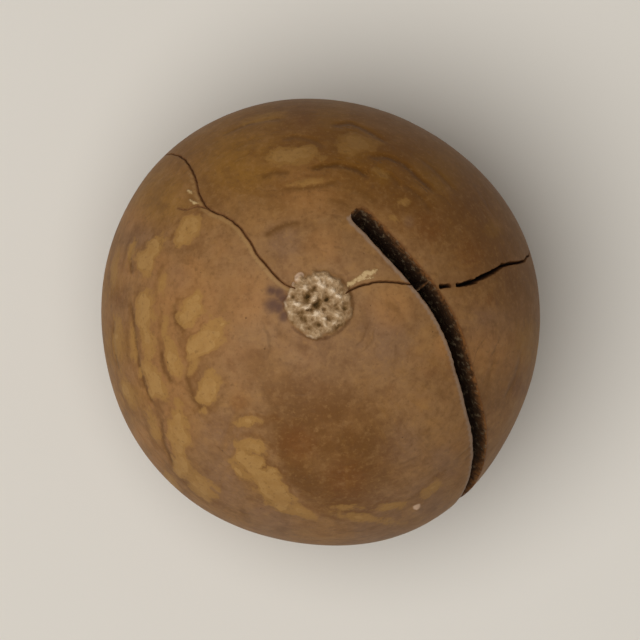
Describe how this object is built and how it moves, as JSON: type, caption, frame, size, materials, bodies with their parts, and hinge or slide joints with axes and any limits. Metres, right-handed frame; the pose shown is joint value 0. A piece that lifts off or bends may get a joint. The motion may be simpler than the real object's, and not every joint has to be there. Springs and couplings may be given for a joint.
{
  "type": "macadamia nut in shell",
  "caption": "Round roasted macadamia nut in its woody shell, with a pale pitted scar, fine cracks and a narrow sawn slot that shows the loose kernel inside.",
  "frame": {"origin": "on the small flat spot that the nut rests on, straight below the middle of its round form", "axes": "+Z up, towards the pale scar; seen from above, +X is right and +Y is up, with the sawn slot on the +X side"},
  "size_m": [0.0247, 0.0251, 0.0247],
  "materials": {
    "seed_coat": "smooth hard seed coat, satin, tan brown with ochre flecks",
    "kernel_flesh": null
  },
  "bodies": {
    "root": {"shell": "seed_coat", "kernel": "kernel_flesh"}
  },
  "joints": []
}
